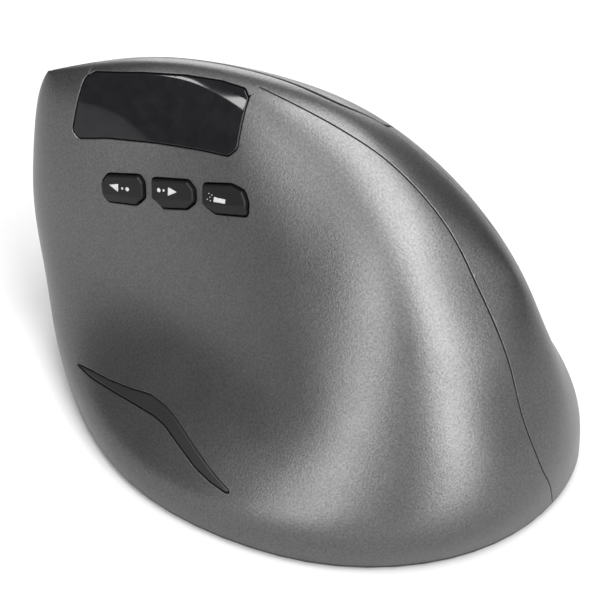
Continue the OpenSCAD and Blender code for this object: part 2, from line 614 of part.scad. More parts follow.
// The frame: a deck under the click board, two bulkheads down to the base, and the hinge ears
deck_t = 2;
DECK_ENDS = [-50, -14];
REAR_RIB = [-11.5, 2.5];
FRONT_RIB = [43.3, 2.2];
floor_z = 3.6;
REAR_SHAPE = [[-19, floor_z], [19, floor_z], [19, 17], [15.5, 24], [-0.5, 54.5], [-3.5, 54.5], [-19, 20]];
FRONT_SHAPE = [[-13, floor_z], [-10, floor_z], [-10, 11], [14, 11], [14, floor_z], [17, floor_z], [17, 22],
    [-0.5, 54.5], [-3.5, 54.5], [-13, 16]];
module inner_frame() color("lightslategray") difference() {
    union() {
        finger_frame() deck();
        bulkhead(REAR_RIB, REAR_SHAPE);
        bulkhead(FRONT_RIB, FRONT_SHAPE);
    }
    finger_frame() for (arm = [UPPER_ARM, LOWER_ARM]) hinge_rod(ear_span(arm), hinge_r);
    finger_frame() for (p = BOARD_SCREWS)
        translate([p[0], p[1], click_board_z - deck_t - 1]) cylinder(r = 0.7, h = 4);
    translate([4, REAR_RIB[0] - 1, floor_z - 1]) cube([12, 5, 8]);
    translate([-6, REAR_RIB[0] - 1, 16]) cube([14, 5, 12]);
}
module bulkhead(rib, outline) translate([0, rib[0] + rib[1], 0]) rotate([90, 0, 0])
    linear_extrude(rib[1]) polygon(outline);
module deck() {
    bar = 4;
    z = click_board_z - deck_t;
    for (x = [DECK_ENDS[0], DECK_ENDS[1] - bar]) translate([x, -11.2, z]) cube([bar, 57, deck_t]);
    translate([DECK_ENDS[0], -20.5, z]) cube([DECK_ENDS[1] - DECK_ENDS[0], 13.5, deck_t]);
    translate([DECK_ENDS[0], 43.6, z]) cube([DECK_ENDS[1] - DECK_ENDS[0], 2.2, deck_t]);
    for (arm = [UPPER_ARM, LOWER_ARM]) for (x = [ear_span(arm)[0], arm[1] + ear_gap])
        translate([x, HINGE[0], 0]) {
            translate([0, -2.1, z]) cube([ear_t, 4.2, HINGE[1] - z]);
            translate([0, 0, HINGE[1]]) rotate([0, 90, 0]) cylinder(r = 2.1, h = ear_t);
        }
}

// ---------- base ----------
// The skin's lower edge moved inwards
module base_outline(inset) offset(delta = -inset)
    polygon([for (i = [0:cols * 4 - 1]) let (p = at(NET, i / 4, 0)) [p[0], p[1]]]);
rim_in = 0.5;
rim_top = 1.7;
SENSOR = [0, 14];
sensor_r = 4.4;
BAY = [-12.3, -44, -13.5];
bay_half = 7.6;
bay_wall = 1.2;
bay_top = 7.4;
tunnel_to = -31.8;
module base_plate() color("dimgray") difference() {
    union() {
        translate([0, 0, foot_h]) linear_extrude(rim_top - foot_h) base_outline(rim_in);
        translate([0, 0, foot_h]) linear_extrude(floor_z - foot_h) base_outline(wall + 0.45);
        translate([BAY[0] - bay_half - bay_wall, BAY[1] - bay_wall, foot_h])
            cube([2 * (bay_half + bay_wall), BAY[2] - BAY[1] + 2 * bay_wall, bay_top + bay_wall - foot_h]);
        for (p = MAIN_SCREWS) translate([p[0], p[1], foot_h]) cylinder(r = 2.2, h = main_z - foot_h);
    }
    translate([SENSOR[0], SENSOR[1], -1]) cylinder(r = sensor_r, h = 9);
    for (b = BOSSES) translate([b[0], b[1], -1]) {
        cylinder(r = 1.25, h = 9);
        cylinder(r = screw_head_r + 0.25, h = 1 + foot_h + screw_head_h + 0.2);
    }
    for (p = MAIN_SCREWS) translate([p[0], p[1], foot_h + 1]) cylinder(r = 0.7, h = 9);
    // Receiver bay: open below in front, a tunnel behind
    translate([BAY[0] - bay_half, tunnel_to, -1]) cube([2 * bay_half, BAY[2] - tunnel_to, bay_top + 1]);
    translate([BAY[0] - PLUG[0] / 2 - 0.15, BAY[1], PLUG_Z - 0.15]) cube([PLUG[0] + 0.3, 20, PLUG[2] + 0.3]);
    translate([POWER[0] - 2.3, POWER[1] - 3.8, -1]) cube([4.6, 7.6, 9]);
    translate([PAIR[0], PAIR[1], -1]) cylinder(r = pair_r + 0.2, h = 9);
}

PLUG = [12, 12, 4.5];
PLUG_Z = 2.1;
CAP_BLOCK = [14.6, 7, 5.9];
module receiver_plug() color("silver") difference() {
    translate([BAY[0] - PLUG[0] / 2, tunnel_to - PLUG[1] + 0.4, PLUG_Z]) cube(PLUG);
    translate([BAY[0] - PLUG[0] / 2 + 0.4, tunnel_to - PLUG[1] - 0.6, PLUG_Z + 2.2])
        cube([PLUG[0] - 0.8, PLUG[1] - 1, PLUG[2] - 2.6]);
}
module receiver_cap() color("black")
    translate([BAY[0] - CAP_BLOCK[0] / 2, tunnel_to + 0.4, 1.3]) cube(CAP_BLOCK);

main_z = 5;
main_t = 1.2;
MAIN_SCREWS = [[-12, 3], [12, 3], [-12, 38], [13, 38]];
module main_board() color("darkgreen") difference() {
    translate([0, 0, main_z]) linear_extrude(main_t)
        polygon([[-15.5, 0], [15.5, 0], [16.5, 40], [11.5, 43], [11.5, 53], [-1, 53], [-9, 43], [-15.5, 40]]);
    for (p = MAIN_SCREWS) translate([p[0], p[1], main_z - 1]) cylinder(r = 0.9, h = 4);
    translate([SENSOR[0] - 2, SENSOR[1] - 4, main_z - 1]) cube([4, 8, 4]);
}
module sensor_chip() color("black")
    translate([SENSOR[0] - 4.6, SENSOR[1] - 6.2, main_z + main_t]) cube([9.2, 12.4, 2.6]);
module sensor_lens() color([0.9, 0.95, 1, 0.5]) translate([SENSOR[0], SENSOR[1], 0]) difference() {
    union() {
        translate([0, 0, 1.9]) cylinder(r = sensor_r - 0.15, h = floor_z - 1.9);
        translate([-6, -8, floor_z]) cube([12, 16, main_z - floor_z]);
    }
    translate([0, 0, 0]) cylinder(r = 2, h = 2.9);
}

usb_w = 9;
usb_h = 3.3;
usb_x = 5;
usb_y = 49.6;
usb_l = 6.5;
usb_wall = 0.3;
port_gap = 0.3;
usb_z = main_z + main_t + usb_h / 2;
module usb_slot(w, h, y = 45, l = 20) translate([usb_x, y, usb_z]) rotate([-90, 0, 0]) linear_extrude(l) union() {
    square([w - h, h], center = true);
    for (side = [-1, 1]) translate([side * (w - h) / 2, 0]) circle(r = h / 2);
}
module usb_port() color("silver") {
    difference() {
        usb_slot(usb_w, usb_h, usb_y, usb_l);
        usb_slot(usb_w - 2 * usb_wall, usb_h - 2 * usb_wall, usb_y + 1, usb_l);
    }
    translate([usb_x - 3.3, usb_y + 1, usb_z - 0.35]) cube([6.6, usb_l - 2.3, 0.7]);
}

BATTERY = [27, 31, 7];
BATTERY_AT = [-2.5, -45.5, floor_z];
module battery() color("silver") translate(BATTERY_AT) {
    cube(BATTERY);
    translate([2, BATTERY[1], 1.2]) cube([BATTERY[0] - 4, 1.6, 4]);
}
module rod(a, b, r) translate(a) rotate([0, acos((b - a)[2] / norm(b - a)), atan2((b - a)[1], (b - a)[0])])
    cylinder(r = r, h = norm(b - a), $fn = 16);
lead_r = 0.6;
module battery_lead() color("red") {
    for (x = [6.5, 8.5]) rod([x, BATTERY_AT[1] + BATTERY[1] + 1.6, 7], [x, 2, 7.4], lead_r);
    translate([5.5, 2, main_z + main_t]) cube([4, 4, 2.2]);
}
flex_t = 0.3;
module flex_cable() color("orange") translate([0, 24, 0]) rotate([90, 0, 0]) linear_extrude(9)
    polygon([[-8.4, 41.2], [-10.5, 26], [-10.5, 12], [-9.8, 9], [-9.3, main_z + main_t], [-9, main_z + main_t],
        [-9.5, 9.1], [-10.2, 12], [-10.2, 26], [-8.1, 41.2]]);

POWER = [9, 27];
module power_switch() color("silver")
    translate([POWER[0] - 4.5, POWER[1] - 4.5, floor_z]) cube([9, 9, main_z - floor_z]);
module power_slider() color("whitesmoke")
    translate([POWER[0] - 2, POWER[1] - 3.5, 1.2]) cube([4, 4, floor_z - 1.3]);
PAIR = [-9, 30];
pair_r = 2;
module pair_button() color("whitesmoke") translate([PAIR[0], PAIR[1], 0]) {
    translate([0, 0, 1.3]) cylinder(r = pair_r, h = 2.6);
    translate([0, 0, floor_z + 0.1]) cylinder(r = pair_r + 0.9, h = 0.4);
}
module pair_switch() color("silver") translate([PAIR[0] - 1.5, PAIR[1] - 1.5, main_z - 0.4]) cube([3, 3, 0.4]);

// Feet: flat glides that the mouse stands on
module glide(outline) linear_extrude(foot_h) offset(r = 2) offset(delta = -2) polygon(outline);
module front_foot() color("whitesmoke") glide([[-12, 42], [17, 42], [13, 50], [4, 52.5], [-7, 49.5]]);
module rear_foot() color("whitesmoke")
    glide([[-16, -44.5], [3, -46], [22, -44], [18, -52.5], [4, -55.6], [-10, -53]]);
module sensor_ring() color("whitesmoke") translate([SENSOR[0], SENSOR[1], 0]) difference() {
    cylinder(r = 9, h = foot_h);
    translate([0, 0, -1]) cylinder(r = 5.6, h = 3);
}

screw_head_r = 2;
screw_head_h = 1.2;
module screw(shank, l) {
    cylinder(r = shank, h = l);
    difference() {
        cylinder(r = screw_head_r, h = screw_head_h);
        for (a = [0, 90]) rotate([0, 0, a]) translate([-1.2, -0.25, -0.1]) cube([2.4, 0.5, 0.7]);
    }
}
module base_screws() color("silver") for (b = BOSSES) translate([b[0], b[1], foot_h + 0.2]) screw(0.85, 8.5);
module board_screws() color("silver") {
    for (p = MAIN_SCREWS) translate([p[0], p[1], main_z + main_t + 1]) mirror([0, 0, 1]) small_screw(4);
    finger_frame() for (p = BOARD_SCREWS)
        translate([p[0], p[1], click_board_z + click_board_t + 1]) mirror([0, 0, 1]) small_screw(3.8);
}
module small_screw(l) {
    cylinder(r = 0.65, h = l);
    difference() {
        cylinder(r = 1.5, h = 1);
        translate([-1, -0.2, -0.1]) cube([2, 0.4, 0.5]);
    }
}

base_plate();
thumb_shell();
palm_shell();
finger_shell();
left_button();
right_button();
wheel_bezel();
display_window();
display_module();
thumb_strip();
back_button();
forward_button();
mode_button();
side_board();
side_switches();
inner_frame();
click_board();
left_click_switch();
right_click_switch();
left_plunger();
right_plunger();
left_hinge_pin();
right_hinge_pin();
wheel_hub();
wheel_tyre();
wheel_axle();
wheel_cradle();
cradle_pin();
cradle_bracket();
encoder_body();
encoder_rotor();
middle_click_switch();
dpi_button();
dpi_switch();
main_board();
sensor_chip();
sensor_lens();
flex_cable();
battery();
battery_lead();
usb_port();
power_switch();
power_slider();
pair_button();
pair_switch();
receiver_plug();
receiver_cap();
front_foot();
rear_foot();
sensor_ring();
base_screws();
board_screws();
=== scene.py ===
import json
import math
import bpy
import numpy as np
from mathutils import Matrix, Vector


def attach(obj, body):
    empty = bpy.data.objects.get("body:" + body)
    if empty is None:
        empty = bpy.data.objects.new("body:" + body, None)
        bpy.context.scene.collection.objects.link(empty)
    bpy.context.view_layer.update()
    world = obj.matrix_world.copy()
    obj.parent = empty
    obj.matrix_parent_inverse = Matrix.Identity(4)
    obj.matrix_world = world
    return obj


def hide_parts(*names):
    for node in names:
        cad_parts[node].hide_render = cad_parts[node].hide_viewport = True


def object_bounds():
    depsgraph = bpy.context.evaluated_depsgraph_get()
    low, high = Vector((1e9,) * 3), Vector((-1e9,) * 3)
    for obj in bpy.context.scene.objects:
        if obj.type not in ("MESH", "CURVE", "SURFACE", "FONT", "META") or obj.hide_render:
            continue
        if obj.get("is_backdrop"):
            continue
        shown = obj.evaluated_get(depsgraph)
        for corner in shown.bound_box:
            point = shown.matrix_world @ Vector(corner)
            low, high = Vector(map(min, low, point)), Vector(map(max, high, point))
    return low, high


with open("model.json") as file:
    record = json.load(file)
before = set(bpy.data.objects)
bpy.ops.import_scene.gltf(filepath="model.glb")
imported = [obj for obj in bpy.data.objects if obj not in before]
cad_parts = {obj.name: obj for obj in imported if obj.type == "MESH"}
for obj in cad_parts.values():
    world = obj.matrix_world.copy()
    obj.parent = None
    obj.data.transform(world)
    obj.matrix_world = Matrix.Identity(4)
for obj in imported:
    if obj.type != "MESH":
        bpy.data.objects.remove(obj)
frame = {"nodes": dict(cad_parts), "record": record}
CAD_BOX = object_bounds()
NODES = frame["nodes"]
MM = 0.001

# ---------------------------------------------------------------- the free-form skin, as in the CAD
BASE_RING = [[2.5, 60.5], [-13.5, 54.5], [-30, 36.5], [-43, 13.5], [-43.5, -12], [-37, -35.5],
             [-21.5, -53.5], [-4, -61], [12, -61], [26, -54.5], [35, -37], [39, -14], [39, 10], [36, 32],
             [29, 49], [17, 59]]
FOOT_RING = [[2, 61, 9], [-14.5, 56, 9], [-30, 38, 9], [-43, 14.5, 9], [-44, -12, 9], [-38, -36.5, 10],
             [-23.5, -56, 10], [-4, -62, 10], [11.5, -61, 10], [26.5, -54, 9.5], [36.5, -36.5, 9.5],
             [40.5, -14, 10], [41, 10, 10], [37, 32, 10], [29, 49, 10], [17, 59, 10]]
SILL_RING = [[-0.5, 62.5, 20], [-15, 57.5, 17], [-24.5, 37.5, 16], [-33, 13, 16], [-37, -11, 18],
             [-33.5, -33.5, 18], [-20.5, -52.5, 20], [-4.5, -59.5, 20], [11, -60, 19.5], [23.5, -51, 19],
             [33, -35.5, 20.5], [36.5, -11.5, 21], [37, 10, 20], [34, 30, 20], [27, 47, 20], [15, 58, 20]]
LOW_RING = [[-3, 64.5, 33], [-16.5, 58, 31], [-17.5, 38, 29], [-19, 16, 28.5], [-25, -6, 29],
             [-28.5, -28, 29.5], [-19, -47, 30], [-3, -55, 28.5], [10.5, -58, 28.5], [19, -48, 28.5],
             [25, -32.5, 32.5], [28.5, -9.5, 34], [29, 10, 35], [27, 29, 35], [22, 45, 34], [12, 57, 33]]
MID_RING = [[-6, 62.5, 47.5], [-16, 55, 47], [-17, 38.5, 48], [-15, 22, 48], [-16, 3, 48], [-19, -15, 46],
             [-16.5, -35.5, 47], [-3.5, -49.5, 40.5], [9, -54.5, 37], [16.5, -45, 39.5],
             [21, -27.5, 47.5], [21, -8.5, 54], [18, 9, 56], [14.5, 26, 55.5], [11, 41, 53.5],
             [5.5, 53.5, 48]]
SHOULDER_RING = [[-9.5, 59.5, 62.5], [-14.5, 50.5, 64], [-11, 37.5, 70], [-6, 24.5, 73], [-6, 9, 74],
             [-4, -8.5, 68], [-7, -27.5, 62], [-0.5, -40.5, 51.5], [8.5, -52, 44], [16.5, -38.5, 51.5],
             [20, -24, 59.5], [16.5, -8, 69.5], [12, 8, 72.5], [7.5, 22.5, 73], [4, 36.5, 70.5],
             [-1.5, 50, 65]]
RIDGE = [[-10.5, 55.5, 67.5], [-7.5, 45, 73.5], [-4, 32.5, 78], [0.5, 18.5, 79], [5, 3.5, 78.5],
             [7.5, -11, 76], [8.5, -25.5, 68], [8.5, -37.5, 59.5], [8.5, -45.5, 49.5]]
COLS, RINGS = 16, 6
HOME = np.array([1.5, -0.43, 0.0])
SCALE = np.array([78.5 / 82.6, 116 / 122.3, 73 / 76.9])


def twin(i):
    return (COLS - i) % COLS


def net():
    rows = [[p + [2] for p in BASE_RING], FOOT_RING, SILL_RING, LOW_RING, MID_RING, SHOULDER_RING]
    rows.append([RIDGE[min(i, twin(i) if twin(i) else 0)] for i in range(COLS)])
    cage = HOME + np.array(rows, float) * SCALE
    below = 2 * cage[0] - cage[1]
    over = [[cage[r][twin(i)] for i in range(COLS)] for r in (RINGS - 1, RINGS - 2)]
    return np.concatenate([[below], cage, np.array(over)])


NET = net()


def weights(f):
    return np.stack([(1 - f) ** 3, 3 * f ** 3 - 6 * f ** 2 + 4,
                     -3 * f ** 3 + 3 * f ** 2 + 3 * f + 1, f ** 3], -1) / 6


def slopes(f):
    return np.stack([-(1 - f) ** 2, 3 * f * f - 4 * f, -3 * f * f + 2 * f + 1, f * f], -1) / 2


def skin(u, w):
    """Point and outward normal of the skin at (u, w), in millimetres."""
    iu, iw = np.floor(u).astype(int), np.minimum(np.floor(w).astype(int), RINGS)
    fu, fw = u - iu, w - iw
    near = np.stack([np.stack([NET[iw + a, (iu + b - 1) % COLS] for b in range(4)], -2)
                     for a in range(4)], -3)
    mix = lambda a, b: np.einsum("na,nb,nabk->nk", b, a, near)
    p = mix(weights(fu), weights(fw))
    n = np.cross(mix(slopes(fu), weights(fw)), mix(weights(fu), slopes(fw)))
    return p, n / np.linalg.norm(n, axis=1, keepdims=True)


def grid(nu, nw, u0=0.0, u1=16.0, w0=0.0, w1=6.0):
    """A triangle grid of the skin; round the whole body it closes on itself and along the ridge."""
    round_body = u0 == 0 and u1 == 16
    u = np.linspace(u0, u1, nu + 1)[: nu if round_body else nu + 1]
    w = np.linspace(w0, w1, nw + 1)
    uu, ww = np.meshgrid(u, w)
    near_end = np.minimum(np.minimum(uu, 16 - uu), abs(uu - 8)) < 0.3
    p = skin(uu.ravel(), ww.ravel())[0]
    # the skin has no normal where the ridge ends, so it is taken a little below
    soft = np.minimum(ww, np.where(near_end, 5.97, 6.0))
    n = skin(uu.ravel(), soft.ravel())[1]
    m = len(u)
    index = np.arange(p.shape[0]).reshape(nw + 1, m)
    if w1 == 6 and round_body:
        half = m // 2
        for i in range(half + 1, m):
            index[nw, i] = index[nw, m - i]
    if round_body:
        cols = np.roll(index, -1, axis=1)
        q = np.stack([index[:-1], cols[:-1], cols[1:], index[1:]], -1).reshape(-1, 4)
    else:
        q = np.stack([index[:-1, :-1], index[:-1, 1:], index[1:, 1:], index[1:, :-1]], -1).reshape(-1, 4)
    t = np.concatenate([q[:, [0, 1, 2]], q[:, [0, 2, 3]]])
    t = t[(t[:, 0] != t[:, 1]) & (t[:, 1] != t[:, 2]) & (t[:, 2] != t[:, 0])]
    return p, n, t


def compact(p, n, t, *more):
    used = np.unique(t)
    back = np.full(len(p), -1)
    back[used] = np.arange(len(used))
    return (p[used], n[used], back[t]) + tuple(m[used] for m in more)


# ---------------------------------------------------------------- frames of the two flanks
def lean(degrees):
    a = math.radians(degrees)
    return np.array([[math.cos(a), 0, math.sin(a)], [0, 1, 0], [-math.sin(a), 0, math.cos(a)]])


FINGER, THUMB, SLOPE = lean(62), lean(-72), lean(-45)


def into(p, R):
    """Points in a flank's own frame: x, y, z."""
    return (p - HOME) @ R


def out(q, R):
    return np.asarray(q, float) @ R.T + HOME


# ---------------------------------------------------------------- seams and outlines
# As in the CAD, but for NOSE_SHIFT, which moves the thumb's seam over the nose to the hidden side
def curve(pts, x):
    pts = np.array(pts, float)
    i = np.clip(np.searchsorted(pts[:, 0], x, side="right") - 1, 0, len(pts) - 2)
    last = len(pts) - 1
    g = lambda k: ((pts[np.minimum(k + 1, last), 1] - pts[np.maximum(k - 1, 0), 1])
                   / (pts[np.minimum(k + 1, last), 0] - pts[np.maximum(k - 1, 0), 0]))
    h = pts[i + 1, 0] - pts[i, 0]
    f = np.clip((x - pts[i, 0]) / h, 0, 1)
    e = 1 - f
    return (e * e * (1 + 2 * f) * pts[i, 1] + f * f * (3 - 2 * f) * pts[i + 1, 1]
            + f * e * e * h * g(i) - f * f * e * h * g(i + 1))


SEAM_BACK = [[0, 3], [8, 0.5], [15, -2], [24, -2.8], [35, -1.3], [48, 0.7], [58, 3.1],
             [65, 3.8], [69, 2.7], [73, 0.5], [80, -3]]
SEAM_NOSE = [[0, -4], [20, -4.5], [31, -6.5], [46, -9], [58, -11], [80, -12.5]]
WINDOW_FROM, WINDOW_TO, SEAM_DIP, NOSE_SHIFT = 9.0, 41.1, 3.5, 3
PANEL_TOP = [[-12.5, -54], [-5, -58.6], [5, -61], [20, -62.6], [35, -62.3], [50, -59.5], [64, -55]]
PANEL_REAR = -12.5
PALM_SEAM = [[0, 22], [20, 19], [40, 15], [55, 12.6], [67, 10.8], [80, 9]]
BRIDGE = (45, 46)
BEZEL_TOP, BEZEL_FOOT = -42, -32
LOWER_EDGE = [[-10, -17], [0, -14], [15, -12], [35, -12], [64, -11]]
LOWER_REAR = -10
DEPTH = [[-20, 33], [20, 32], [35, 29], [45, 24], [50, 21.5], [54, 19.8], [58, 17.5], [70, 15]]
WINDOW = [[42.2, 49.5], [41.6, 60.5], [40, 62.2], [30.5, 65.2], [22.5, 67.2], [15.5, 68.3], [10.8, 68.4],
          [9.2, 67.2], [7.8, 58.2], [9.2, 56.2], [15, 55.2], [25, 53], [34.5, 50.6], [40.6, 48.3]]
BACK_CAP = [[34.6, 41.6], [33.4, 43.9], [26.6, 46.2], [25.3, 45.1], [24.6, 41.9], [26.3, 39.6],
            [32.7, 37.8], [33.9, 38.4]]
FORWARD_CAP = [[24.2, 46.5], [16.2, 49.1], [14.3, 47.9], [13.6, 45.4], [15.3, 43.2], [20.7, 41.2],
               [23.4, 42.6]]
MODE_CAP = [[13.3, 49.7], [7.2, 51.9], [4.2, 51.7], [2.8, 50], [2, 47.2], [9.1, 44.9], [12.2, 45.6]]
CAPS = {"back_button": BACK_CAP, "forward_button": FORWARD_CAP, "mode_button": MODE_CAP}
STRIP = [[35, -10.9], [29, -10.5], [24, -10.4], [18.5, -9.9], [13, -9], [9, -9.5], [6, -10.4], [2.5, -12],
         [-2, -14.2], [-7, -16.5], [-11.3, -18.1], [-11.6, -18.7], [-10.6, -19], [-7, -18.5], [-3, -17.4],
         [3, -14.8], [7, -13.1], [10, -12.5], [15, -12.3], [22, -12.2], [28.5, -12]]
WHEEL = np.array([-37, 28, 28.8])
WHEEL_R, TYRE_W = 10.5, 6.4
DPI_Y, DPI, DPI_GAP = 7, (8.5, 4.6), 0.3
WALL, SEAM, PANEL_GAP, CLICK_DROP = 1.8, 0.16, 0.4, 1.3
# Outlines cut only the skin beyond these: the flank's own z on the thumb's wall and at the slots,
# and Y at the inlet
THUMB_FROM, SLOT_FROM, USB_FROM = 18, 20, 45
WINDOW_TILT = 9.7
USB_X, USB_Z, USB_W, USB_H = 5, 7.85, 9.6, 3.9


def polygon(x, y, poly):
    """Signed distance to a closed polygon in a plane, negative inside."""
    poly = np.array(poly, float)
    a, b = poly, np.roll(poly, -1, axis=0)
    best = np.full(len(x), 1e9)
    inside = np.zeros(len(x), bool)
    for (ax, ay), (bx, by) in zip(a, b):
        ex, ey = bx - ax, by - ay
        f = np.clip(((x - ax) * ex + (y - ay) * ey) / (ex * ex + ey * ey), 0, 1)
        best = np.minimum(best, np.hypot(x - ax - f * ex, y - ay - f * ey))
        inside ^= ((ay > y) != (by > y)) & (x < ax + (y - ay) * ex / np.where(ey == 0, 1e-9, ey))
    return np.where(inside, -best, best)


def rounded(poly, r, steps=6):
    """The polygon with each corner turned into an arc of radius r, or less on a short side."""
    poly = np.array(poly, float)
    pts = []
    for i in range(len(poly)):
        a, b, c = poly[i - 1], poly[i], poly[(i + 1) % len(poly)]
        u, v = a - b, c - b
        lu, lv = np.linalg.norm(u), np.linalg.norm(v)
        u, v = u / lu, v / lv
        half = math.acos(np.clip(u @ v, -1, 1)) / 2
        cut = min(r / math.tan(half), 0.45 * lu, 0.45 * lv)
        for k in range(steps + 1):
            f = k / steps
            pts.append((1 - f) ** 2 * (b + u * cut) + 2 * f * (1 - f) * b + f * f * (b + v * cut))
    return np.array(pts)


def box2(x, y, cx, cy, w, h, r):
    """Signed distance to a rounded rectangle."""
    qx, qy = abs(x - cx) - w / 2 + r, abs(y - cy) - h / 2 + r
    return np.hypot(np.maximum(qx, 0), np.maximum(qy, 0)) + np.minimum(np.maximum(qx, qy), 0) - r


def thumb_seam(p):
    """Negative on the thumb's side of the seam that runs over the top from heel to nose."""
    q = p - HOME
    y, z = q[:, 1], q[:, 2]
    a = np.clip((y - WINDOW_FROM) / (50 - WINDOW_FROM), 0, 1)
    x = curve(SEAM_BACK, z) * (1 - a) + curve(SEAM_NOSE, z) * a
    dip = np.clip((y - WINDOW_FROM + 0.3) / 0.6, 0, 1) * np.clip((WINDOW_TO + 0.3 - y) / 0.6, 0, 1)
    past = np.clip((y - WINDOW_TO + 0.3) / 0.6, 0, 1) * np.clip((z - 20) / 26, 0, 1)
    return q[:, 0] - x + dip * SEAM_DIP - past * NOSE_SHIFT


def outline(R, poly):
    return lambda p: polygon(into(p, R)[:, 1], into(p, R)[:, 0], poly)


def thumb_wall(p):
    q = into(p, THUMB)
    a = math.radians(WINDOW_TILT)
    return THUMB_FROM - (q[:, 2] * math.cos(a) - q[:, 1] * math.sin(a))


def on_thumb(poly):
    """An outline on the thumb's wall only, not on the far side of the body."""
    return lambda p: np.maximum(outline(THUMB, poly)(p), THUMB_FROM - into(p, THUMB)[:, 2])


WINDOW_SHAPE = rounded(WINDOW, 1.4)
window = lambda p: np.maximum(outline(THUMB, WINDOW_SHAPE)(p), thumb_wall(p) * 0.5)
CAP_SHAPES = {k: rounded(v, 0.9) for k, v in CAPS.items()}
cap = lambda name: on_thumb(CAP_SHAPES[name])
STRIP_SHAPE = rounded(STRIP, 2.0)
strip = lambda p: np.maximum(outline(SLOPE, STRIP_SHAPE)(p), -into(p, SLOPE)[:, 2])


def palm_zone(p):
    q, f = p - HOME, into(p, FINGER)
    back = np.maximum(q[:, 1] - PANEL_REAR - 1, q[:, 0] - curve(PALM_SEAM, q[:, 2]))
    spine = np.maximum(PANEL_REAR - 1 - q[:, 1], f[:, 0] - curve(PANEL_TOP, f[:, 1]))
    nose = np.maximum(BRIDGE[0] - q[:, 1], BRIDGE[1] - q[:, 2])
    side = np.maximum(thumb_wall(p), np.maximum(BRIDGE[1] - q[:, 2], -q[:, 1]))
    return np.minimum(np.minimum(back, spine), np.minimum(nose, side))


PANEL_FRONT = 64


def panel(edge_pts, rear, foot):
    """A click panel's outline, [y, x]: along its free edge, and back along the bezel at x = foot."""
    ys = np.concatenate([np.arange(rear, PANEL_FRONT, 1.5), [PANEL_FRONT]])
    return [[y, x] for y, x in zip(ys, curve(edge_pts, ys))] + [[PANEL_FRONT, foot], [rear, foot]]


UPPER = panel(PANEL_TOP, PANEL_REAR, BEZEL_TOP)
LOWER = panel(LOWER_EDGE, LOWER_REAR, BEZEL_FOOT)
STRIPE = [[-3, BEZEL_TOP], [-3, BEZEL_FOOT], [PANEL_FRONT, BEZEL_FOOT], [PANEL_FRONT, BEZEL_TOP]]


def click(poly, by=0.0, drop=0.0):
    def f(p):
        q = into(p, FINGER)
        return np.maximum(polygon(q[:, 1], q[:, 0], poly) - by, curve(DEPTH, q[:, 1]) - drop - q[:, 2])
    return f


upper, lower = click(rounded(UPPER, 1.0)), click(rounded(LOWER, 1.0))
upper_space, lower_space = click(UPPER, PANEL_GAP, CLICK_DROP), click(LOWER, PANEL_GAP, CLICK_DROP)
stripe_space = click(STRIPE, 0, CLICK_DROP)


def usb(p):
    return np.maximum(box2(p[:, 0], p[:, 2], USB_X, USB_Z, USB_W, USB_H, USB_H / 2), USB_FROM - p[:, 1])


# ---------------------------------------------------------------- meshes from signed functions
def surface_gradient(f, p, n, e=0.01):
    g = np.stack([(f(p + np.eye(3)[k] * e) - f(p - np.eye(3)[k] * e)) / (2 * e) for k in range(3)], -1)
    return g - n * np.sum(g * n, 1, keepdims=True)


def distance(f, p, n):
    """f turned into a distance along the skin, near its zero line."""
    g = np.linalg.norm(surface_gradient(f, p, n), axis=1)
    return f(p) / np.clip(g, 0.25, 4)


def cut(p, n, t, values, level, snap=0.02):
    """Adds the line where values pass level; values is (N, K), its first column the one that is cut."""
    v = values[:, 0] - level
    v[abs(v) < snap] = 0
    s = np.sign(v).astype(int)
    e = np.sort(np.concatenate([t[:, [0, 1]], t[:, [1, 2]], t[:, [2, 0]]]), axis=1)
    crossing = e[s[e[:, 0]] * s[e[:, 1]] < 0]
    crossing = np.unique(crossing, axis=0)
    if not len(crossing):
        return p, n, t, values
    a, b = crossing.T
    f = (v[a] / (v[a] - v[b]))[:, None]
    new_n = n[a] * (1 - f) + n[b] * f
    new_n /= np.linalg.norm(new_n, axis=1, keepdims=True)
    new_values = values[a] * (1 - f) + values[b] * f
    new_values[:, 0] = level
    base = len(p)
    key = {(int(i), int(j)): base + k for k, (i, j) in enumerate(crossing)}
    p = np.concatenate([p, p[a] * (1 - f) + p[b] * f])
    n = np.concatenate([n, new_n])
    values = np.concatenate([values, new_values])
    s = np.concatenate([s, np.zeros(len(crossing), int)])
    hit = (s[t].min(1) < 0) & (s[t].max(1) > 0)
    made = []
    for tri in t[hit]:
        i, j, k = (int(x) for x in tri)
        sg = [s[i], s[j], s[k]]
        while not (sg[0] != 0 and (sg[0] * sg[1] < 0 and sg[0] * sg[2] < 0 or sg[0] * sg[1] < 0 and sg[2] == 0
                                   or sg[0] * sg[2] < 0 and sg[1] == 0)):
            i, j, k = j, k, i
            sg = [s[i], s[j], s[k]]
        if sg[2] == 0:
            m = key[(min(i, j), max(i, j))]
            made += [(i, m, k), (m, j, k)]
        elif sg[1] == 0:
            m = key[(min(i, k), max(i, k))]
            made += [(i, j, m), (m, j, k)]
        else:
            m, o = key[(min(i, j), max(i, j))], key[(min(i, k), max(i, k))]
            made += [(i, m, o), (m, j, k), (m, k, o)]
    t = np.concatenate([t[~hit], np.array(made)]) if made else t
    return p, n, t, values


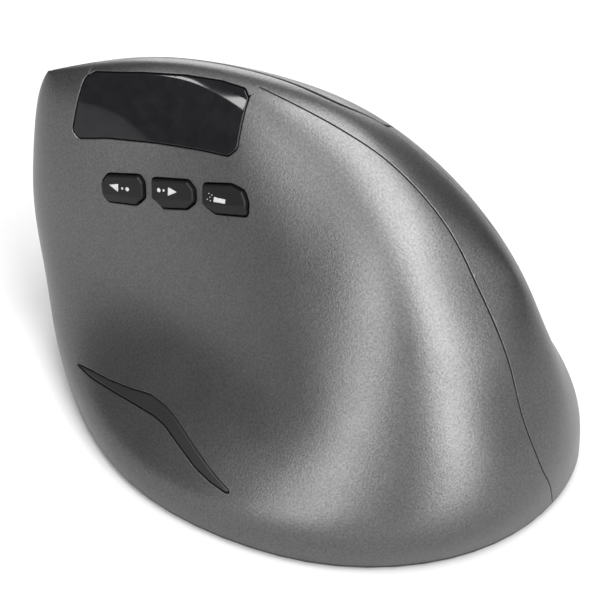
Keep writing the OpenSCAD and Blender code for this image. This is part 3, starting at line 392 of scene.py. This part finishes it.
def piece_mesh(f, source, rows, profile, thickness, lift=0.0, relief=None):
    """A closed piece of the skin where f < 0. profile(d) gives (height, slope) at d inside its edge,
    rows the distances that get their own line of vertices, lift moves it all outwards, and relief(p)
    is an extra height over the piece."""
    p, n, t = source
    rough = f(p)
    near = rough < 2.5
    t = t[near[t].all(1)]
    p, n, t = compact(p, n, t)
    d = distance(f, p, n)
    values = d[:, None]
    for level in [0.0] + [-r for r in rows]:
        p, n, t, values = cut(p, n, t, values, level)
        if level == 0:
            t = t[values[t, 0].mean(1) < 0]
            p, n, t, values = compact(p, n, t, values)
    d = np.maximum(-values[:, 0], 0)
    d[d < 0.02] = 0
    g = surface_gradient(f, p, n)
    size = np.linalg.norm(g, axis=1, keepdims=True)
    inward = -g / np.maximum(size, 1e-6)
    h, slope = profile(d)
    if relief:
        h = h + relief(p)
    top = p + n * (lift + h)[:, None]
    # the profile is given by height and the normal's tilt away from the edge, 0 flat and 1 sideways
    tilt = np.clip(slope, 0, 1)[:, None]
    tn = n * np.sqrt(1 - tilt ** 2) - inward * tilt
    if relief:
        tn = tn - surface_gradient(relief, p, n, 0.05)
    tn /= np.linalg.norm(tn, axis=1, keepdims=True)
    # the rim is made of the edges that only one triangle has
    edges = dict.fromkeys((a, b) for a, b in np.concatenate([t[:, [0, 1]], t[:, [1, 2]], t[:, [2, 0]]]))
    rim = np.array([(a, b) for a, b in edges if (b, a) not in edges])
    low = p + n * (lift - thickness)
    rim_v = np.unique(rim)
    k = len(p)
    back = {int(v): 2 * k + i for i, v in enumerate(rim_v)}
    verts = np.concatenate([top, low, low[rim_v]])
    normals = np.concatenate([tn, -n, -inward[rim_v]])
    sides = []
    for a, b in rim:
        sides.append((a, back[int(a)], back[int(b)]))
        sides.append((a, back[int(b)], b))
    faces = np.concatenate([t, t[:, ::-1] + k, np.array(sides)])
    return verts, normals, faces


def fillet(r):
    def profile(d):
        x = np.clip((r - d) / r, 0, 1)
        return -(r - r * np.sqrt(1 - x * x)), x
    return profile


def build(name, verts, normals, faces, material, body, stands_for):
    """One piece from points in millimetres: its mesh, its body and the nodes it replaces."""
    mesh = bpy.data.meshes.new(name)
    mesh.from_pydata((np.asarray(verts) * MM).tolist(), [], np.asarray(faces).tolist())
    mesh.polygons.foreach_set("use_smooth", np.full(len(mesh.polygons), True))
    if normals is not None:
        mesh.normals_split_custom_set_from_vertices(np.asarray(normals).tolist())
    mesh.update()
    o = bpy.data.objects.new(name, mesh)
    bpy.context.scene.collection.objects.link(o)
    mesh.materials.append(material)
    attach(o, body)
    if stands_for:
        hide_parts(*stands_for)


# ---------------------------------------------------------------- materials
def material(name, color, rough, metallic=0.0, **more):
    m = bpy.data.materials.new(name)
    m.use_nodes = True
    b = m.node_tree.nodes["Principled BSDF"]
    b.inputs["Base Color"].default_value = (*color, 1)
    b.inputs["Roughness"].default_value = rough
    b.inputs["Metallic"].default_value = metallic
    for k, v in more.items():
        b.inputs[k.replace("_", " ")].default_value = v
    return m, m.node_tree, b


def noise(tree, scale, detail=3.0, rough=0.5):
    coord = tree.nodes.new("ShaderNodeTexCoord")
    n = tree.nodes.new("ShaderNodeTexNoise")
    n.inputs["Scale"].default_value = scale
    n.inputs["Detail"].default_value = detail
    n.inputs["Roughness"].default_value = rough
    tree.links.new(coord.outputs["Object"], n.inputs["Vector"])
    return n


def ramp(tree, src, lo, hi, a=0.3, b=0.7):
    r = tree.nodes.new("ShaderNodeMapRange")
    r.inputs["From Min"].default_value = a
    r.inputs["From Max"].default_value = b
    r.inputs["To Min"].default_value = lo
    r.inputs["To Max"].default_value = hi
    tree.links.new(src, r.inputs["Value"])
    return r.outputs["Result"]


def tinted(tree, b, src, low, high):
    r = tree.nodes.new("ShaderNodeValToRGB")
    r.color_ramp.elements[0].position = 0.3
    r.color_ramp.elements[0].color = (*low, 1)
    r.color_ramp.elements[1].position = 0.7
    r.color_ramp.elements[1].color = (*high, 1)
    tree.links.new(src, r.inputs["Fac"])
    tree.links.new(r.outputs["Color"], b.inputs["Base Color"])


def bump(tree, b, src, strength, height):
    n = tree.nodes.new("ShaderNodeBump")
    n.inputs["Strength"].default_value = strength
    n.inputs["Distance"].default_value = height
    tree.links.new(src, n.inputs["Height"])
    tree.links.new(n.outputs["Normal"], b.inputs["Normal"])


def grained(name, color, rough, metallic=0.0, grain=2500.0, depth=0.00002, strength=0.3, spread=0.08, **more):
    """A surface with a fine grain: small bumps, and colour and roughness that vary a little."""
    m, tree, b = material(name, color, rough, metallic, **more)
    fine = noise(tree, grain, 2.0)
    wide = noise(tree, 90.0, 4.0)
    tinted(tree, b, fine.outputs["Fac"], tuple(c * (1 - spread) for c in color),
           tuple(c * (1 + spread) for c in color))
    tree.links.new(ramp(tree, wide.outputs["Fac"], rough * 0.93, rough * 1.07), b.inputs["Roughness"])
    bump(tree, b, fine.outputs["Fac"], strength, depth)
    return m


PAINT = grained("satin_paint", (0.1, 0.1, 0.101), 0.38, 0.92, grain=2600, depth=0.00004, strength=0.75,
                spread=0.2)
BASE = grained("base_plastic", (0.012, 0.012, 0.013), 0.5, grain=1800, depth=0.00003, strength=0.5)
GLOSS = grained("gloss_window", (0.006, 0.006, 0.007), 0.06, grain=400, depth=0.000002, strength=0.05,
                spread=0.2, Specular_IOR_Level=0.25)
CAP = grained("satin_black", (0.006, 0.006, 0.0065), 0.36, grain=3000, depth=0.00001, strength=0.3,
              Specular_IOR_Level=0.16)
GRIP = grained("grip_rubber", (0.009, 0.009, 0.0095), 0.45, grain=2600, depth=0.00002, strength=0.4,
               Specular_IOR_Level=0.32)
TYRE = grained("tyre_rubber", (0.009, 0.009, 0.009), 0.6, grain=1500, depth=0.00003, strength=0.6)
HUB = grained("hub_plastic", (0.10, 0.10, 0.105), 0.35, 0.8, grain=2200)
ICON = grained("icon_print", (0.32, 0.32, 0.32), 0.5, grain=2600)
STEEL = grained("steel", (0.55, 0.55, 0.56), 0.28, 1.0, grain=1800, strength=0.15)
INNER = grained("inner_plastic", (0.07, 0.07, 0.075), 0.5)
BOARD = grained("board_mask", (0.01, 0.07, 0.03), 0.35, grain=700)
GLIDE = grained("glide_sheet", (0.02, 0.02, 0.021), 0.4, grain=1500)
AMBER = grained("flex_film", (0.42, 0.18, 0.03), 0.3)
FOIL = grained("cell_foil", (0.6, 0.61, 0.62), 0.3, 0.9, grain=500, strength=0.5)
LEAD = grained("lead_insulation", (0.4, 0.02, 0.02), 0.4)
WHITE = grained("white_plastic", (0.62, 0.62, 0.60), 0.42)
LENS, _tree, _b = material("clear_lens", (0.9, 0.93, 0.95), 0.08, Transmission_Weight=0.85, IOR=1.49)
_n = noise(_tree, 600, 2)
bump(_tree, _b, _n.outputs["Fac"], 0.05, 0.00001)

SLOT_LOOK = {"shell_paint": PAINT, "base": BASE, "window": GLOSS, "cap": CAP, "grip": GRIP, "bezel": CAP,
             "tyre": TYRE, "hub": HUB, "steel": STEEL, "inner_plastic": INNER, "switch_body": CAP,
             "switch_plunger": AMBER, "board": BOARD, "chip": CAP, "lens": LENS, "display": GLOSS,
             "flex": AMBER, "cell": FOIL, "lead": LEAD, "glide": GLIDE, "white_plastic": WHITE}
for part in frame["record"]["subparts"]:
    o = NODES[part["node"]]
    o.data.materials.clear()
    o.data.materials.append(SLOT_LOOK[part["material_slot"]])

# ---------------------------------------------------------------- shells and panels
SKIN = grid(576, 152)

EDGE = fillet(0.14)
ROWS = [0.03, 0.07, 0.14]


def all_of(*fs):
    return lambda p: np.max([f(p) for f in fs], axis=0)


def outside(f):
    return lambda p: -f(p)


def inset(f, gap):
    return lambda p: f(p) + gap


def piece(name, f, mat, body, rows=ROWS, profile=EDGE, thickness=WALL, lift=0.0, source=None,
          stands_for=None, relief=None):
    v, nrm, faces = piece_mesh(f, source or SKIN, rows, profile, thickness, lift, relief)
    build(name, v, nrm, faces, mat, body, (name,) if stands_for is None else stands_for)


def patch(f, step=0.4):
    """A finer grid of the skin, only as large as the place where f is small."""
    u, w = np.linspace(0, 16, 641)[:-1], np.linspace(0, 5.98, 241)
    uu, ww = np.meshgrid(u, w)
    uu, ww = uu.ravel(), ww.ravel()
    near = f(skin(uu, ww)[0]) < 0.8
    u0, u1 = uu[near].min() - 0.03, uu[near].max() + 0.03
    w0, w1 = max(ww[near].min() - 0.03, 0), min(ww[near].max() + 0.03, 5.98)
    return grid(max(int((u1 - u0) * 14 / step), 8), max(int((w1 - w0) * 13 / step), 8), u0, u1, w0, w1)


half = SEAM / 2
beside_thumb = all_of(lambda p: half - thumb_seam(p), *map(outside, (window, upper_space, lower_space,
                                                                     stripe_space)))
thumb_f = all_of(lambda p: thumb_seam(p) + half, outside(window), outside(strip),
                 *[outside(cap(k)) for k in CAPS])
palm_f = all_of(lambda p: palm_zone(p) + half, beside_thumb)
finger_f = all_of(lambda p: half - palm_zone(p), beside_thumb, outside(usb))

# Room for the upper panel to go down: a wider seam over the nose, and along the top towards it
CLICK_CLEAR, TOP_ROOM, ROOM_FROM, ROOM_TO = 1.2, 0.2, 26, 36


def top_room(p):
    q = into(p, FINGER)
    return (curve(PANEL_TOP, q[:, 1]) - q[:, 0]
            + TOP_ROOM * np.clip((q[:, 1] - ROOM_FROM) / (ROOM_TO - ROOM_FROM), 0, 1))


left_f = all_of(upper, lambda p: CLICK_CLEAR - thumb_seam(p), outside(window), top_room)
piece("thumb_shell", thumb_f, PAINT, "body", thickness=1.2)
piece("palm_shell", palm_f, PAINT, "body")
piece("finger_shell", finger_f, PAINT, "body")
piece("left_button", left_f, PAINT, "left_button", thickness=1.2)
piece("right_button", lower, PAINT, "right_button")

# ---------------------------------------------------------------- window and grip strip
FINE = 0.35
piece("display_window", inset(window, 0.15), GLOSS, "body", rows=[0.06, 0.14, 0.28],
      profile=fillet(0.28), thickness=1.2, lift=-0.1, source=patch(window, FINE))
piece("thumb_strip", inset(strip, 0.12), GRIP, "body", rows=[0.06, 0.16, 0.4], profile=fillet(0.4),
      thickness=0.8, lift=-0.04, source=patch(strip, FINE))

# ---------------------------------------------------------------- caps on the thumb's wall, with their marks
# Lower edge of each cap, [y, x], from which its face slopes down
CAP_FOOT = {"back_button": [(26.3, 39.6), (32.7, 37.8)], "forward_button": [(15.3, 43.2), (20.7, 41.2)],
            "mode_button": [(2, 47.2), (9.1, 44.9)]}
SLOPE_W, SLOPE_H, CAP_PROUD, CAP_GAP = 1.75, 0.5, 0.8, 0.3


def cap_face(name):
    """The relief of a cap: its face falls towards its lower edge."""
    (ay, ax), (by, bx) = CAP_FOOT[name]
    l = math.hypot(by - ay, bx - ax)
    ny, nx = -(bx - ax) / l, (by - ay) / l

    def relief(p):
        q = into(p, THUMB)
        up = (q[:, 1] - ay) * ny + (q[:, 0] - ax) * nx - CAP_GAP
        return -SLOPE_H * np.clip((SLOPE_W - up) / SLOPE_W, 0, 1.1)
    return relief


def disc(y, x, r):
    return [[y + r * math.cos(a), x + r * math.sin(a)]
            for a in np.linspace(0, 2 * math.pi, 16, endpoint=False)]


MARKS = {
    "back_button": [[[32.5, 42.05], [30.5, 42.95], [30.3, 41.3]], disc(29.55, 42.35, 0.26),
                    disc(28.45, 42.6, 0.42)],
    "forward_button": [[[19.95, 46.3], [17.75, 46.1], [19.6, 44.6]], disc(20.7, 45.3, 0.26),
                       disc(21.75, 44.95, 0.42)],
    "mode_button": [[[9.7, 48.4], [8.9, 48.5], [7.2, 48.85], [7.1, 48.0], [8.85, 47.6], [9.6, 47.4]],
                    disc(10.25, 48.5, 0.15), disc(10.55, 47.95, 0.15), disc(10.3, 47.4, 0.15),
                    disc(10.95, 48.6, 0.15), disc(11.0, 47.4, 0.15)]}
for name in CAPS:
    cap_f = inset(cap(name), CAP_GAP)
    piece(name, cap_f, CAP, name, rows=[0.06, 0.15, 0.35], profile=fillet(0.35), thickness=2.6,
          lift=CAP_PROUD, source=patch(cap_f, 0.2), relief=cap_face(name))
    for i, shape in enumerate(MARKS[name]):
        mark = on_thumb(shape)
        piece(f"{name}_mark_{i}", mark, ICON, name, rows=[], profile=fillet(0.01), thickness=0.06,
              lift=CAP_PROUD + 0.02, source=patch(mark, 0.12), stands_for=())

# ---------------------------------------------------------------- bezel, wheel and resolution button
def slot_hole(y, l, w, r):
    """A rounded rectangle on the fingers' flank, in line with the wheel."""
    def f(p):
        q = into(p, FINGER)
        return np.maximum(box2(q[:, 1], q[:, 0], y, WHEEL[0], l, w, r), SLOT_FROM - q[:, 2])
    return f


bezel_space = click([[y, x + (PANEL_GAP if x < WHEEL[0] else -PANEL_GAP)] for y, x in STRIPE])
wheel_slot = slot_hole(WHEEL[1], 22, 7.2, 2.2)
dpi_slot = slot_hole(DPI_Y, DPI[0] + 2 * DPI_GAP, DPI[1] + 2 * DPI_GAP, 1.6)
bezel_f = all_of(bezel_space, outside(wheel_slot), outside(dpi_slot))
piece("wheel_bezel", bezel_f, CAP, "body", rows=[0.08, 0.3], profile=fillet(0.3), thickness=1.5,
      lift=-0.6)
dpi_f = slot_hole(DPI_Y, DPI[0], DPI[1], 1.4)
piece("dpi_button", dpi_f, HUB, "dpi_button", rows=[0.1, 0.3, 0.6], profile=fillet(0.6), thickness=2.2,
      lift=-0.1, source=patch(dpi_f, FINE))


def turned(name, ring, body, mat, count, ribs, rib_depth, rib_rows):
    """A ribbed ring turned about the wheel's axis from a closed outline of (radius, place along the axis)."""
    verts, faces = [], []
    for i in range(count):
        a = 2 * math.pi * i / count
        dip = 0.5 - 0.5 * math.cos(ribs * a)
        for k, (r, x) in enumerate(ring):
            rr = r - (rib_depth * dip ** 0.6 if k in rib_rows else 0)
            verts.append([x, rr * math.sin(a), rr * math.cos(a)])
    m = len(ring)
    for i in range(count):
        j = (i + 1) % count
        for k in range(m):
            l = (k + 1) % m
            faces.append((i * m + k, i * m + l, j * m + l, j * m + k))
    build(name, out(np.array(verts) + WHEEL, FINGER), None, faces, mat, body, (name,))


def arc(cx, cy, r, a0, a1, steps):
    return [(cx + r * math.cos(math.radians(a)), cy + r * math.sin(math.radians(a)))
            for a in np.linspace(a0, a1, steps)]


TYRE_IN, TYRE_EDGE, TYRE_FLAT = 8.72, 1.1, 1.6
tyre_side = TYRE_W / 2
tyre_ring = ([(TYRE_IN, -tyre_side)]
             + arc(WHEEL_R - TYRE_EDGE, -tyre_side + TYRE_EDGE, TYRE_EDGE, -90, 0, 7)
             + [(WHEEL_R, -tyre_side + TYRE_FLAT), (WHEEL_R, 0.0), (WHEEL_R, tyre_side - TYRE_FLAT)]
             + arc(WHEEL_R - TYRE_EDGE, tyre_side - TYRE_EDGE, TYRE_EDGE, 0, 90, 7)
             + [(TYRE_IN, tyre_side)])
turned("wheel_tyre", tyre_ring, "wheel", TYRE, count=432, ribs=36, rib_depth=0.45,
       rib_rows=range(5, len(tyre_ring) - 5))

# ---------------------------------------------------------------- camera, light, floor
def aim(o, target):
    o.rotation_euler = (Vector(target) - o.location).to_track_quat("-Z", "Y").to_euler()


def away(azimuth, elevation, distance, target):
    """The place seen from target at these angles; azimuth 0 is -Y, the heel's side."""
    a, e = math.radians(azimuth), math.radians(elevation)
    step = Vector((math.sin(a) * math.cos(e), -math.cos(a) * math.cos(e), math.sin(e)))
    return Vector(target) + step * distance


TARGET = (0.0015, -0.00138, 0.0261)
cam = bpy.data.objects.new("camera", bpy.data.cameras.new("camera"))
bpy.context.scene.collection.objects.link(cam)
cam.data.lens = 141
cam.data.sensor_width = 36
cam.data.clip_start = 0.01
cam.location = away(-55, 42, 0.451, TARGET)
aim(cam, TARGET)
bpy.context.scene.camera = cam


LIT = (0, 0, 0.03)


def softbox(name, azimuth, elevation, distance, width, height, power):
    data = bpy.data.lights.new(name, "AREA")
    data.shape = "RECTANGLE"
    data.size, data.size_y = width, height
    data.energy = power
    o = bpy.data.objects.new(name, data)
    bpy.context.scene.collection.objects.link(o)
    o.location = away(azimuth, elevation, distance, LIT)
    aim(o, LIT)


softbox("overhead", -30, 70, 1.6, 1.32, 1.32, 43.7)
softbox("heel_strip", -25, 25, 1.6, 0.64, 1.32, 28.2)
softbox("thumb_strip_light", -85, 22, 1.7, 0.64, 1.17, 17)
softbox("far_side", 120, 24, 1.7, 1.38, 1.28, 27.1)
softbox("window_glint", -111.5, 46, 1.7, 0.1, 0.36, 2.6)

world = bpy.data.worlds.new("world")
world.use_nodes = True
world.node_tree.nodes["Background"].inputs["Color"].default_value = (1, 1, 1, 1)
world.node_tree.nodes["Background"].inputs["Strength"].default_value = 0.2
bpy.context.scene.world = world
bpy.context.scene.view_settings.view_transform = "Standard"

floor_mesh = bpy.data.meshes.new("floor")
floor_mesh.from_pydata([(-4, -4, 0), (4, -4, 0), (4, 4, 0), (-4, 4, 0)], [], [(0, 1, 2, 3)])
floor = bpy.data.objects.new("floor", floor_mesh)
bpy.context.scene.collection.objects.link(floor)
floor_mesh.materials.append(grained("floor_sheet", (0.5, 0.5, 0.5), 0.7, grain=300, strength=0.05,
                                    spread=0.01))
floor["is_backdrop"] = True

bpy.context.view_layer.update()
numbers = lambda v: [float(x) for c in v for x in (c if hasattr(c, "__len__") else [c])]
{"cad": numbers(CAD_BOX), "visual": numbers(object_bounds())}
